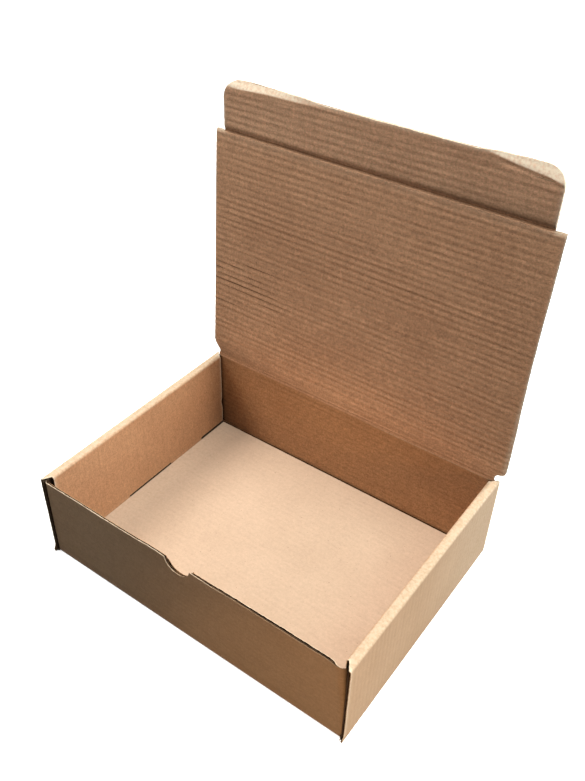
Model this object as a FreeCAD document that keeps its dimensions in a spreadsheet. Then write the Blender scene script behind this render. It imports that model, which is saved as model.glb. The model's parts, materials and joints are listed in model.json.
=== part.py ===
"""Corrugated mailer box, standing open.

One die-cut blank of B-flute board makes the whole box.  It is divided only where
the lid and its tuck flap hinge.  Millimetres, +Z up, +X to the right along the
front wall, +Y to the back.  The origin is on the table, under the middle of the base.
"""
import FreeCAD, Part
import math
import os

import Sketcher

SHEET_NAME = "sizes"
SAME_PLACE = 0.01
PARALLEL = 1e-6

DRIVING_SIZES = [
    ("width", 330.0, "over the outer side panels"),
    ("depth", 245.0, "over the front and back walls"),
    ("wall_height", 94.2, "table to the top of the rolled side walls"),
    ("board", 2.8, "thickness of the board"),
    ("leaf_gap", 0.3, "air between two leaves folded side by side"),
    ("fold_radius", 2.2, "outside radius of a folded crease"),
    ("corner_radius", 5.0, "outside radius of the softer fold from a wall to its ear"),
    ("front_drop", 0.4, "top of the front wall below the rolled strips"),
    ("front_overlap", 1.0, "side panels past the front wall"),
    ("back_overlap", 0.4, "side panels past the back wall"),
    ("back_recess", 5.2, "back wall to the end of the inner side panels"),
    ("inner_raise", 2.0, "base to the lower edge of the inner side panels"),
    ("tab_length", 48.5, "lock tab along the side wall"),
    ("tab_inset", 42.5, "lock tab from the front and the back of the box"),
    ("tab_recess", 0.3, "lock tab above the underside of the base"),
    ("ear_length", 86.0, "corner ear hidden in the rolled side wall"),
    ("ear_drop", 3.0, "corner ear below the underside of the rolled strip"),
    ("notch_width", 28.0, "thumb notch in the front wall"),
    ("notch_depth", 12.0, "thumb notch in the front wall"),
    ("crease_inset", 5.5, "lid crease in from the outside of the box, each side"),
    ("lid_clearance", 0.2, "closed lid above the rolled side walls"),
    ("crease_gap", 0.7, "back wall to the round end of the lid"),
    ("lid_overhang", 1.0, "lid past the outer side panels, each side"),
    ("lid_angle", 86.2, "degrees from lying back flat, 180 is closed"),
    ("shoulder_height", 10.0, "crease to the full width of the lid"),
    ("shoulder_round", 4.0, "corner at the full width of the lid"),
    ("shoulder_fillet", 3.0, "inside corner beside the crease"),
    ("flap_height", 46.5, "fold to the free edge of the tuck flap"),
    ("flap_clearance", 0.3, "closed tuck flap behind the front wall"),
    ("flap_seat", 0.7, "closed tuck flap to the ends of the inner side panels"),
    ("flap_tuck", 0.6, "tuck flap in front of each inner side panel"),
    ("flap_gap", 0.3, "lid edge to the round end of the tuck flap"),
    ("flap_bend", 3.9, "degrees that the tuck flap leans in from the lid"),
    ("flap_corner_left", 19.0, "round at the left free corner of the flap"),
    ("flap_corner_right", 17.0, "round at the right free corner of the flap"),
    ("flute_pitch", 6.06, "one wave of the fluted core"),
    ("liner", 0.45, "flat liner on each face of the board"),
    ("medium", 0.4, "paper of the fluted core"),
    ("flute_flank", 0.6, "slanted side of a wave, measured along the board"),
    ("flute_crest", 0.5, "half the flat on top of a wave"),
    ("flute_cut", 0.4, "middle of the flute that a cut edge runs along, in from the edge"),
    ("flute_margin", 3.6, "crease to the middle of the nearest flute"),
    ("flute_stop", 8.0, "crushed board between a flute's end and a fold"),
]


class Size:
    """A length and the sheet expression that gives it."""

    def __init__(self, value, text):
        self.value = value
        self.text = text

    def joined(self, other, sign, value):
        other_text = other.text if isinstance(other, Size) else repr(float(other))
        return Size(value, "(" + self.text + " " + sign + " " + other_text + ")")

    def __add__(self, other):
        return self.joined(other, "+", self.value + number(other))

    def __sub__(self, other):
        return self.joined(other, "-", self.value - number(other))

    def __mul__(self, other):
        return self.joined(other, "*", self.value * number(other))

    def __truediv__(self, other):
        return self.joined(other, "/", self.value / number(other))

    def __neg__(self):
        return self * -1


def number(length):
    """The plain number of a Size or of a number."""
    return length.value if isinstance(length, Size) else float(length)


def write_sheet(doc):
    """Put the driving sizes in the sheet and give each one back by name."""
    sheet = doc.addObject("Spreadsheet::Sheet", SHEET_NAME)
    sizes = {}
    for row, (name, value, meaning) in enumerate(DRIVING_SIZES, start=1):
        sheet.set("A%d" % row, name)
        sheet.set("B%d" % row, str(value))
        sheet.set("C%d" % row, meaning)
        sheet.setAlias("B%d" % row, name)
        sizes[name] = Size(value, SHEET_NAME + "." + name)
    doc.recompute()
    return sizes


def bind(feature, prop, length):
    """Tie one property of a feature to the sheet."""
    feature.setExpression(prop, length.text if isinstance(length, Size) else repr(float(length)))


def new_body(doc, name):
    body = doc.addObject("PartDesign::Body", name)
    body.Label = name
    return body


def new_sketch(body, name, plane, height=None):
    """A sketch on one of the body's own origin planes, raised along its normal."""
    sketch = body.newObject("Sketcher::SketchObject", name)
    found = [item for item in body.Origin.OriginFeatures if item.Role == plane]
    sketch.AttachmentSupport = [(found[0], "")]
    sketch.MapMode = "FlatFace"
    if height is not None:
        bind(sketch, "AttachmentOffset.Base.z", height)
    return sketch


def place_point(sketch, line, end, x, y):
    """Tie one end of a line to its distances from the sketch's origin."""
    across = sketch.addConstraint(Sketcher.Constraint("DistanceX", -1, 1, line, end, number(x)))
    bind(sketch, "Constraints[%d]" % across, x)
    up = sketch.addConstraint(Sketcher.Constraint("DistanceY", -1, 1, line, end, number(y)))
    bind(sketch, "Constraints[%d]" % up, y)


def add_outline(sketch, corners):
    """A closed outline through the corners, each tied to the sheet."""
    points = [FreeCAD.Vector(number(x), number(y), 0) for x, y in corners]
    lines = []
    for index, start in enumerate(points):
        end = points[(index + 1) % len(points)]
        lines.append(sketch.addGeometry(Part.LineSegment(start, end), False))
    for index, line in enumerate(lines):
        following = lines[(index + 1) % len(lines)]
        sketch.addConstraint(Sketcher.Constraint("Coincident", line, 2, following, 1))
    for line, (x, y) in zip(lines, corners):
        place_point(sketch, line, 1, x, y)


def add_rectangle(sketch, left, right, low, high):
    add_outline(sketch, [(left, low), (right, low), (right, high), (left, high)])


def add_round_end(sketch, radius, far):
    """A board seen on edge: a half-round end about the origin and a square far end."""
    half = number(radius)
    reach = number(far)
    corners = [(0, -half), (reach, -half), (reach, half), (0, half)]
    points = [FreeCAD.Vector(x, y, 0) for x, y in corners]
    lines = [sketch.addGeometry(Part.LineSegment(start, end), False)
             for start, end in zip(points, points[1:])]
    circle = Part.Circle(FreeCAD.Vector(0, 0, 0), FreeCAD.Vector(0, 0, 1), half)
    quarter_turn = math.pi / 2
    arc = sketch.addGeometry(Part.ArcOfCircle(circle, quarter_turn, 3 * quarter_turn), False)
    for line, following in zip(lines, lines[1:]):
        sketch.addConstraint(Sketcher.Constraint("Coincident", line, 2, following, 1))
    sketch.addConstraint(Sketcher.Constraint("Coincident", lines[-1], 2, arc, 1))
    sketch.addConstraint(Sketcher.Constraint("Coincident", arc, 2, lines[0], 1))
    place_point(sketch, lines[0], 1, 0, -radius)
    place_point(sketch, lines[1], 1, far, -radius)
    place_point(sketch, lines[2], 1, far, radius)
    place_point(sketch, lines[2], 2, 0, radius)


def pad(body, name, sketch, length, middle=False, backward=False):
    """Raise the sketch to a solid along its normal, or half to each side."""
    feature = body.newObject("PartDesign::Pad", name)
    feature.Profile = sketch
    feature.Type = "Length"
    feature.SideType = "Symmetric" if middle else "One side"
    feature.Reversed = backward
    bind(feature, "Length", length)


def pocket(body, name, sketch, length=None, middle=False, upward=True):
    """Cut the sketch out of the body and make sure that it took something away."""
    body.Document.recompute()
    before = body.Shape.Volume
    feature = body.newObject("PartDesign::Pocket", name)
    feature.Profile = sketch
    feature.SideType = "Symmetric" if middle else "One side"
    feature.Reversed = upward
    if length is None:
        feature.Type = "ThroughAll"
    else:
        feature.Type = "Length"
        bind(feature, "Length", length)
    body.Document.recompute()
    if not feature.Shape.Volume < before:
        raise RuntimeError(name + " cuts nothing")
    return feature


def round_edges(body, name, radius, wanted):
    """Round the edges of the body's tip that the test picks."""
    body.Document.recompute()
    tip = body.Tip
    names = ["Edge%d" % index for index, edge in enumerate(tip.Shape.Edges, start=1) if wanted(edge)]
    if not names:
        raise RuntimeError(name + " finds no edge")
    feature = body.newObject("PartDesign::Fillet", name)
    feature.Base = (tip, names)
    bind(feature, "Radius", radius)
    body.Document.recompute()


def near(first, second):
    """Whether two places on one axis are the same."""
    return abs(first - number(second)) < SAME_PLACE


def runs_along(edge, axis):
    """Whether a straight edge runs along one axis."""
    if not isinstance(edge.Curve, Part.Line):
        return False
    return abs(abs(edge.tangentAt(edge.FirstParameter).dot(axis)) - 1) < PARALLEL


X_AXIS = FreeCAD.Vector(1, 0, 0)
Y_AXIS = FreeCAD.Vector(0, 1, 0)
Z_AXIS = FreeCAD.Vector(0, 0, 1)


def work_out(given):
    """The sizes that follow from the driving ones."""
    size = dict(given)
    board = size["board"]
    gap = size["leaf_gap"]
    size["half"] = size["width"] / 2
    size["middle"] = size["depth"] / 2
    size["panel_inside"] = size["half"] - board
    size["wall_half"] = size["panel_inside"] - gap
    size["ear_inside"] = size["wall_half"] - board
    size["roll_outside"] = size["ear_inside"] - gap
    size["roll_inside"] = size["roll_outside"] - board
    size["strip_bottom"] = size["wall_height"] - board
    size["front_height"] = size["strip_bottom"] - size["front_drop"]
    size["inner_bottom"] = board + size["inner_raise"]
    size["ear_top"] = size["strip_bottom"] - size["ear_drop"]
    size["crease_half"] = size["half"] - size["crease_inset"]
    size["hinge_z"] = size["wall_height"] + size["lid_clearance"] + board / 2
    size["hinge_y"] = size["middle"] - board / 2
    size["back_height"] = size["hinge_z"] - board / 2 - size["crease_gap"]
    size["lid_half"] = size["half"] + size["lid_overhang"]
    size["flap_half"] = size["roll_inside"] + size["flap_tuck"]
    size["front_recess"] = board * 2 + size["flap_clearance"] + size["flap_seat"]
    size["lid_length"] = size["depth"] - board * 2 - size["flap_clearance"]
    size["lid_end"] = size["lid_length"] - board / 2 - size["flap_gap"]
    return size


def fold_rolled_sides(body, size):
    """Base, outer panels, rolled strips and inner panels, in one section."""
    half = size["half"]
    top = size["wall_height"]
    right = [
        (half, 0),
        (half, top),
        (size["roll_inside"], top),
        (size["roll_inside"], size["inner_bottom"]),
        (size["roll_outside"], size["inner_bottom"]),
        (size["roll_outside"], size["strip_bottom"]),
        (size["panel_inside"], size["strip_bottom"]),
        (size["panel_inside"], size["board"]),
    ]
    left = [(-x, y) for x, y in reversed(right)]
    sketch = new_sketch(body, "rolled_section", "XZ_Plane", size["middle"] + size["front_overlap"])
    add_outline(sketch, right + left)
    length = size["depth"] + size["front_overlap"] + size["back_overlap"]
    pad(body, "rolled_sides", sketch, length, backward=True)
    low_or_high = (0, number(top))

    def is_fold(edge):
        middle = edge.CenterOfMass
        on_outside = near(abs(middle.x), half) and any(near(middle.z, z) for z in low_or_high)
        on_inside = near(abs(middle.x), size["roll_inside"]) and near(middle.z, top)
        return runs_along(edge, Y_AXIS) and (on_outside or on_inside)

    round_edges(body, "side_folds", size["fold_radius"], is_fold)


def trim_side_ends(body, size):
    """Shorten the inner panels, slant the rolled strips and square off the base."""
    front = -size["middle"]
    back = size["middle"]
    front_edge = front - size["front_overlap"]
    back_edge = back + size["back_overlap"]
    inner_front = front + size["front_recess"]
    inner_back = back - size["back_recess"]

    sketch = new_sketch(body, "strip_ends", "XY_Plane", size["strip_bottom"])
    half = size["half"]
    inside = size["roll_inside"]
    for edge, inner in [(front_edge, inner_front), (back_edge, inner_back)]:
        add_outline(sketch, [(-half, edge), (half, edge), (inside, inner), (-inside, inner)])
    pocket(body, "strip_slants", sketch, size["board"])

    sketch = new_sketch(body, "inner_panel_ends", "XY_Plane", size["board"])
    outside = size["roll_outside"]
    add_rectangle(sketch, -outside, outside, front_edge, inner_front)
    add_rectangle(sketch, -outside, outside, inner_back, back_edge)
    pocket(body, "inner_panel_trims", sketch, size["strip_bottom"] - size["board"])

    sketch = new_sketch(body, "base_ends", "XY_Plane")
    panel = size["panel_inside"]
    add_rectangle(sketch, -panel, panel, front_edge, front)
    add_rectangle(sketch, -panel, panel, back, back_edge)
    pocket(body, "base_trims", sketch, size["board"])


def cut_tabs(body, size):
    """Slots through the base and the lock tabs of the inner panels in them."""
    gap = size["leaf_gap"]
    near_end = size["middle"] - size["tab_inset"]
    far_end = near_end - size["tab_length"]
    spans = [(-near_end, -far_end), (far_end, near_end)]
    inside = size["roll_inside"]
    outside = size["roll_outside"]

    slots = new_sketch(body, "slot_plan", "XY_Plane")
    for low, high in spans:
        add_rectangle(slots, inside - gap, outside + gap, low - gap, high + gap)
        add_rectangle(slots, -outside - gap, -inside + gap, low - gap, high + gap)
    pocket(body, "base_slots", slots, size["board"])

    tabs = new_sketch(body, "tab_plan", "XY_Plane", size["tab_recess"])
    for low, high in spans:
        add_rectangle(tabs, inside, outside, low, high)
        add_rectangle(tabs, -outside, -inside, low, high)
    pad(body, "lock_tabs", tabs, size["inner_bottom"] + size["board"] - size["tab_recess"])


def raise_walls(body, size):
    """Front and back walls, with the corner ears folded in behind the side panels."""
    board = size["board"]
    front = -size["middle"]
    back = size["middle"]
    sketch = new_sketch(body, "wall_section", "YZ_Plane")
    add_rectangle(sketch, front, front + board, 0, size["front_height"])
    add_rectangle(sketch, back - board, back, 0, size["back_height"])
    pad(body, "front_and_back", sketch, size["wall_half"] * 2, middle=True)

    ears = new_sketch(body, "ear_plan", "XY_Plane", board + size["leaf_gap"])
    inside = size["ear_inside"]
    outside = size["wall_half"]
    for low, high in [(front, front + size["ear_length"]), (back - size["ear_length"], back)]:
        add_rectangle(ears, inside, outside, low, high)
        add_rectangle(ears, -outside, -inside, low, high)
    pad(body, "corner_ears", ears, size["ear_top"] - board - size["leaf_gap"])

    shoulders = new_sketch(body, "shoulder_section", "XZ_Plane", -size["middle"] + board)
    crease = size["crease_half"]
    top = size["back_height"]
    add_rectangle(shoulders, crease, outside, size["ear_top"], top)
    add_rectangle(shoulders, -outside, -crease, size["ear_top"], top)
    pocket(body, "crease_shoulders", shoulders, board, upward=False)

    def is_corner_fold(edge):
        middle = edge.CenterOfMass
        at_side = near(abs(middle.x), outside)
        at_wall = near(abs(middle.y), size["middle"])
        return runs_along(edge, Z_AXIS) and at_side and at_wall

    def is_foot_fold(edge):
        middle = edge.CenterOfMass
        at_foot = near(middle.z, 0)
        return runs_along(edge, X_AXIS) and at_foot and near(abs(middle.y), size["middle"])

    round_edges(body, "corner_folds", size["corner_radius"], is_corner_fold)
    round_edges(body, "foot_folds", size["fold_radius"], is_foot_fold)


def open_wall_flutes(body, size):
    """The front wall is cut along a flute, and the thumb notch cuts into the rows below it."""
    centre = -size["middle"] + size["board"] / 2
    top = size["front_height"]
    sketch = new_sketch(body, "wall_flutes_section", "YZ_Plane")
    for outline in flute_outlines(size, size["flute_cut"]):
        add_outline(sketch, [(centre + across, top - along) for along, across in outline])
    length = (size["wall_half"] - size["flute_stop"]) * 2
    cut = pocket(body, "wall_flutes", sketch, length, middle=True)
    pitch = size["flute_pitch"]
    count = int(number(size["notch_depth"]) / number(pitch)) + 2
    repeat_flutes(body, "wall_flutes_row", cut, sketch, "V_Axis", True, pitch, count)


def open_panel_flutes(body, size):
    """The side panels are cut along a flute at the front and at the back."""
    centre = size["half"] - size["board"] / 2
    front = -size["middle"] - size["front_overlap"]
    back = size["middle"] + size["back_overlap"]
    sketch = new_sketch(body, "panel_flutes_plan", "XY_Plane", size["flute_stop"])
    outline = flute_outlines(size, size["flute_cut"])[0]
    for side in (1, -1):
        add_outline(sketch, [((centre + across) * side, front + along) for along, across in outline])
        add_outline(sketch, [((centre + across) * side, back - along) for along, across in outline])
    pocket(body, "panel_flutes", sketch, size["strip_bottom"] - size["flute_stop"])


def cut_thumb_notch(body, size):
    """A half-moon out of the top of the front wall."""
    width = size["notch_width"]
    depth = size["notch_depth"]
    radius = (width * width / 4 + depth * depth) / (depth * 2)
    centre = size["front_height"] - depth + radius
    sketch = new_sketch(body, "notch_section", "XZ_Plane", size["middle"])
    circle = Part.Circle(FreeCAD.Vector(0, number(centre), 0), FreeCAD.Vector(0, 0, 1), number(radius))
    ring = sketch.addGeometry(circle, False)
    sketch.addConstraint(Sketcher.Constraint("DistanceX", -1, 1, ring, 3, 0.0))
    up = sketch.addConstraint(Sketcher.Constraint("DistanceY", -1, 1, ring, 3, number(centre)))
    bind(sketch, "Constraints[%d]" % up, centre)
    around = sketch.addConstraint(Sketcher.Constraint("Radius", ring, number(radius)))
    bind(sketch, "Constraints[%d]" % around, radius)
    pocket(body, "thumb_notch", sketch, size["board"], upward=False)


def make_tray(doc, size):
    body = new_body(doc, "tray")
    fold_rolled_sides(body, size)
    trim_side_ends(body, size)
    cut_tabs(body, size)
    raise_walls(body, size)
    open_panel_flutes(body, size)
    open_wall_flutes(body, size)
    cut_thumb_notch(body, size)
    return body


def flute_outlines(size, start):
    """Section of one wave of the core: the flute on each side of it, along and across the board."""
    core = size["board"] / 2 - size["liner"]
    crest = size["flute_crest"]
    half_wave = size["flute_pitch"] / 2
    rise = core * 2 - size["medium"]
    lean = core * 2 / rise
    foot = (half_wave - size["flute_flank"] - crest * lean) / (-lean + 2)
    outlines = []
    for centre, side in [(start, 1), (start + half_wave, -1)]:
        base = core * -side
        tip = (rise - core) * side
        outlines.append([
            (centre - foot, base),
            (centre + foot, base),
            (centre + crest, tip),
            (centre - crest, tip),
        ])
    return outlines


def repeat_flutes(body, name, cut, sketch, axis, backward, pitch, count):
    """Repeat one wave of flutes along the board."""
    row = body.newObject("PartDesign::LinearPattern", name)
    row.Originals = [cut]
    row.Direction = (sketch, [axis])
    row.Reversed = backward
    row.Occurrences = count
    bind(row, "Length", pitch * (count - 1))
    body.Tip = row
    body.Document.recompute()


def open_flutes(body, name, size, start, length, place, backward):
    """Flutes that run along X through a flat piece and come out at both cut edges."""
    sketch = new_sketch(body, name + "_section", "YZ_Plane")
    for outline in flute_outlines(size, start):
        add_outline(sketch, [place(along, across) for along, across in outline])
    cut = pocket(body, name, sketch, middle=True)
    pitch = size["flute_pitch"]
    count = int((number(length) - number(start) - number(size["flute_margin"])) / number(pitch)) + 1
    repeat_flutes(body, name + "_row", cut, sketch, "H_Axis", backward, pitch, count)


def make_lid(doc, size):
    """The lid, drawn lying back flat from its crease."""
    body = new_body(doc, "lid_panel")
    section = new_sketch(body, "lid_section", "YZ_Plane")
    add_round_end(section, size["board"] / 2, size["lid_end"])
    pad(body, "lid_board", section, size["lid_half"] * 2, middle=True)
    shoulders = new_sketch(body, "lid_shoulder_plan", "XY_Plane")
    crease = size["crease_half"]
    low = -size["board"]
    add_rectangle(shoulders, crease, size["lid_half"], low, size["shoulder_height"])
    add_rectangle(shoulders, -size["lid_half"], -crease, low, size["shoulder_height"])
    pocket(body, "lid_shoulders", shoulders, None, middle=True)

    def at_shoulder(edge, across):
        middle = edge.CenterOfMass
        at_height = near(middle.y, size["shoulder_height"])
        return runs_along(edge, Z_AXIS) and at_height and near(abs(middle.x), across)

    round_edges(body, "lid_shoulder_rounds", size["shoulder_round"],
                lambda edge: at_shoulder(edge, size["lid_half"]))
    round_edges(body, "lid_shoulder_fillets", size["shoulder_fillet"],
                lambda edge: at_shoulder(edge, crease))
    open_flutes(body, "lid_flutes", size, size["flute_margin"], size["lid_end"],
                lambda along, across: (along, across), False)
    return body


def make_flap(doc, size):
    """The tuck flap, drawn lying back flat from its fold."""
    body = new_body(doc, "tuck_flap")
    section = new_sketch(body, "flap_section", "YZ_Plane")
    add_round_end(section, size["board"] / 2, size["flap_height"])
    pad(body, "flap_board", section, size["flap_half"] * 2, middle=True)
    doc.recompute()

    def at_corner(edge, side):
        middle = edge.CenterOfMass
        at_side = near(middle.x, size["flap_half"] * side)
        return runs_along(edge, Z_AXIS) and at_side and near(middle.y, size["flap_height"])

    round_edges(body, "flap_corner_left", size["flap_corner_left"], lambda edge: at_corner(edge, -1))
    round_edges(body, "flap_corner_right", size["flap_corner_right"], lambda edge: at_corner(edge, 1))
    open_flutes(body, "flap_flutes", size, size["flute_cut"], size["flap_height"],
                lambda along, across: (size["flap_height"] - along, across), True)
    return body


def lean_back(body, size, along, angle):
    """Stand a piece up at its crease: along the lid from the hinge, then turned."""
    body.Placement = FreeCAD.Placement(FreeCAD.Vector(), FreeCAD.Rotation(X_AXIS, angle.value))
    lid_angle = size["lid_angle"].text
    bind(body, "Placement.Rotation.Angle", angle)
    reach = along.text if isinstance(along, Size) else repr(float(along))
    hinge_y = size["hinge_y"].text
    hinge_z = size["hinge_z"].text
    body.setExpression("Placement.Base.y", "%s + %s * cos(%s * 1 deg)" % (hinge_y, reach, lid_angle))
    body.setExpression("Placement.Base.z", "%s + %s * sin(%s * 1 deg)" % (hinge_z, reach, lid_angle))


def check_and_write(doc, bodies):
    """Stop on any failed object, then write one file for each piece."""
    doc.recompute()
    for item in doc.Objects:
        if "Invalid" in item.State or "Error" in item.State:
            raise RuntimeError(item.Name + " did not build")
    for body in bodies:
        shape = body.Shape
        if shape.isNull() or not shape.isValid():
            raise RuntimeError(body.Label + " has no valid shape")
        if len(shape.Solids) != 1:
            raise RuntimeError(body.Label + " is not one solid")
    os.makedirs("parts", exist_ok=True)
    for body in bodies:
        body.Shape.exportStep("parts/" + body.Label + ".step")
        box = body.Shape.BoundBox
        print(body.Label, "volume", round(body.Shape.Volume), "faces", len(body.Shape.Faces),
              "z", round(box.ZMin, 2), round(box.ZMax, 2))


def main():
    doc = FreeCAD.newDocument("mailer_box")
    size = work_out(write_sheet(doc))
    tray = make_tray(doc, size)
    lid = make_lid(doc, size)
    flap = make_flap(doc, size)
    lean_back(lid, size, 0, size["lid_angle"])
    lean_back(flap, size, size["lid_length"], size["lid_angle"] + size["flap_bend"])
    check_and_write(doc, [tray, lid, flap])


main()
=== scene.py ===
"""Looks of the open corrugated mailer box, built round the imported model.

Lengths are millimetres until a mesh is made, where MM turns them to metres.
A sheet of the board is two flat liners with a fluted core between them.  Each liner is a
grid that follows the two faces of the board, so the flutes run across the whole blank.
"""
import json
import math

import bpy
import numpy as np
from mathutils import Matrix, Vector


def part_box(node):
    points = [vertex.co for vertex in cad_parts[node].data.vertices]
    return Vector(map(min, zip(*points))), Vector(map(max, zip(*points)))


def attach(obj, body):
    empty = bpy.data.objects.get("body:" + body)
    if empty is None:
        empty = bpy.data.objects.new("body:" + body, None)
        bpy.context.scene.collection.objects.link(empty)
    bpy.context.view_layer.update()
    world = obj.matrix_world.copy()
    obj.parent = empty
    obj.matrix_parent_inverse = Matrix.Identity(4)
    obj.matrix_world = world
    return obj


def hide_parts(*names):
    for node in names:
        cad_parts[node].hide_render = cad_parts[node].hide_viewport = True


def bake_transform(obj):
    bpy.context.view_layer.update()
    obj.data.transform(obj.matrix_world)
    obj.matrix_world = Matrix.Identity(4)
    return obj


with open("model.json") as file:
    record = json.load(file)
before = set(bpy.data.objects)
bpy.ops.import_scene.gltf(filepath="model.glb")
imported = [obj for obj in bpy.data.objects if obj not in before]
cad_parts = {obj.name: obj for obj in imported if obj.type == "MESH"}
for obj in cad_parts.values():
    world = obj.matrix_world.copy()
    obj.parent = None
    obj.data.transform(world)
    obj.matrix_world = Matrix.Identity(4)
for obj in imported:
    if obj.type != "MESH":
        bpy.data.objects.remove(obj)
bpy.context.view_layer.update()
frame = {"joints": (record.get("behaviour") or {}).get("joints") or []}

# Sizes of the board and the blank

MM = 0.001
TO_MM = 1000.0
TRAY_LOW, TRAY_HIGH = [np.array(corner) * TO_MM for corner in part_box("tray")]
JOINTS = {joint["name"]: joint for joint in frame["joints"]}
HINGE = np.array(JOINTS["lid_hinge"]["pos_m"]) * TO_MM
FOLD = np.array(JOINTS["flap_fold"]["pos_m"]) * TO_MM

# The board: two liners and the flutes between them
BOARD = 2.8
LINER = 0.4
CORE_PAPER = 0.26
PITCH = 6.06
FLUTE_POINTS = 9
CORE_CLEAR = 0.06
WELD = 0.02
STEP = 1.02

# The walls, from the outer faces inwards
LEAF_GAP = 0.3
FOLD_RADIUS = 2.2
CREASED = 0.3
FRONT_OVERLAP = 1.0
BACK_OVERLAP = 0.4
HALF = float(TRAY_HIGH[0])
TOP = float(TRAY_HIGH[2])
FRONT = float(TRAY_LOW[1]) + FRONT_OVERLAP
BACK = float(TRAY_HIGH[1]) - BACK_OVERLAP
FRONT_TOP = TOP - BOARD - 0.4
BACK_TOP = float(HINGE[2]) - 2.3
WALL_FOOT = 3.4
WALL_HALF = HALF - BOARD - LEAF_GAP
EAR_IN = WALL_HALF - BOARD
ROLL_OUT = EAR_IN - LEAF_GAP
ROLL_IN = ROLL_OUT - BOARD
INNER_FRONT = FRONT + 6.6
INNER_BACK = BACK - 5.2
EAR_LENGTH = 86.0
EAR_ROUND = 12.0
EAR_BOTTOM = BOARD + LEAF_GAP
EAR_TOP = TOP - BOARD - 3.0
TAB_NEAR = 31.5
TAB_FAR = 80.0
TAB_LONG = 4.7
TAB_FOOT = 0.3
SLOT_GAP = 0.3
REAR_LIFT = 0.9
FOOT_ROUND = 5.0
FOOT_FLARE = 2.6
FLARE_HIGH = 9.0
FLOOR_HALF = 160.0
FLOOR_DEPTH = 118.0
NOTCH_RADIUS = 14.17
NOTCH_CENTRE = 93.17
NOTCH_HALF = 14.0
NOTCH_SHIFT = 1.0

# The lid and the tuck flap
CREASE_HALF = HALF - 5.5
LID_HALF = HALF + 1.0
LID_LENGTH = float(np.hypot(FOLD[1] - HINGE[1], FOLD[2] - HINGE[2]))
LID_ANGLE = math.atan2(FOLD[2] - HINGE[2], FOLD[1] - HINGE[1])
LID_LIP = 1.7
FLAP_ANGLE = LID_ANGLE + math.radians(3.9)
FLAP_HALF = ROLL_IN + 0.6
FLAP_HEIGHT = 46.5
FLAP_ROUNDS = (19.0, 17.0)
FOLD_HALF = 1.7
VALLEY = 1.1
LID_REACH = 1.0
FLAP_REACH = 2.4

# The flap's bent corners and the room that the front wall leaves for them
CORNER_FALL = 3.6
CORNER_ROOM = 1.7
CORNER_INSIDE = 3.4
WALL_GIVE = 0.68

# How far a liner sinks between the flutes: outside and inside face
WALL_DEPTHS = (0.05, 0.05)
BASE_DEPTHS = (0.04, 0.028)
LID_DEPTHS = (0.07, 0.11)
FLAP_DEPTHS = (0.07, 0.08)

# The camera: its turn, drop and tilt, its place, and its length and shifts
VIEW_ANGLES = (35.683, 39.268, 1.091)
VIEW_PLACE = (328.02, -440.12, 626.13)
VIEW_LENS = (39.21, 0.0115, 0.0221)

# Materials of a sheet, by their places in its list
OUTER, INNER, CORE_SIDE, ROLLED = 0, 1, 2, 3


# Random but repeatable unevenness

def wander(places, cell, seed):
    """A smooth random line between -1 and 1 with one knot every cell."""
    places = np.asarray(places, float) / cell
    low = np.floor(places).astype(int)
    part = places - low
    part = part * part * (3 - 2 * part)
    knots = np.random.default_rng(seed).uniform(-1, 1, 2048)
    return knots[low % 2048] * (1 - part) + knots[(low + 1) % 2048] * part


def blotch(across, along, cell_across, cell_along, seed):
    """A smooth random field between -1 and 1."""
    table = np.random.default_rng(seed).uniform(-1, 1, (256, 256))
    u = np.asarray(across, float) / cell_across
    v = np.asarray(along, float) / cell_along
    iu, iv = np.floor(u).astype(int), np.floor(v).astype(int)
    fu, fv = u - iu, v - iv
    fu, fv = fu * fu * (3 - 2 * fu), fv * fv * (3 - 2 * fv)
    a = table[iu % 256, iv % 256]
    b = table[(iu + 1) % 256, iv % 256]
    c = table[iu % 256, (iv + 1) % 256]
    d = table[(iu + 1) % 256, (iv + 1) % 256]
    return (a * (1 - fu) + b * fu) * (1 - fv) + (c * (1 - fu) + d * fu) * fv


def ease(values, low, high):
    """0 below low, 1 above high, smooth between."""
    t = np.clip((np.asarray(values, float) - low) / (high - low), 0, 1)
    return t * t * (3 - 2 * t)


def washboard(across, flute_place, seed, depth):
    """How far the liner sinks between the flute tips."""
    strength = 0.72 + 0.25 * blotch(across, flute_place, 70.0, PITCH, seed)
    strength += 0.2 * wander(flute_place, PITCH, seed + 1)
    drift = 0.3 * blotch(across, flute_place, 140.0, 60.0, seed + 2)
    wave = (0.5 - 0.5 * np.cos(2 * np.pi * (flute_place + drift) / PITCH)) ** 1.5
    fine = 0.38 * blotch(across, flute_place, 24.0, 1.9, seed + 3)
    rough = 0.014 * blotch(across, flute_place, 5.0, 2.6, seed + 4)
    return depth * 2 * (strength * wave + fine) + rough


def washboards(across, flute_place, seed, depths):
    """The sinking of the outside and the inside liner of one panel."""
    return [washboard(across, flute_place, seed + 4 * face, depth) for face, depth in enumerate(depths)]


# Paths across the folds

def spaced(low, high, step):
    """Places from low to high about a step apart."""
    return np.linspace(low, high, max(2, int(round(abs(high - low) / step)) + 1))


def fractions(*parts):
    """Places from 0 to 1: pairs of an end and the number of steps that lead to it."""
    places = [0.0]
    for end, count in parts:
        places += list(np.linspace(places[-1], end, count + 1)[1:])
    return np.array(places)


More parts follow.
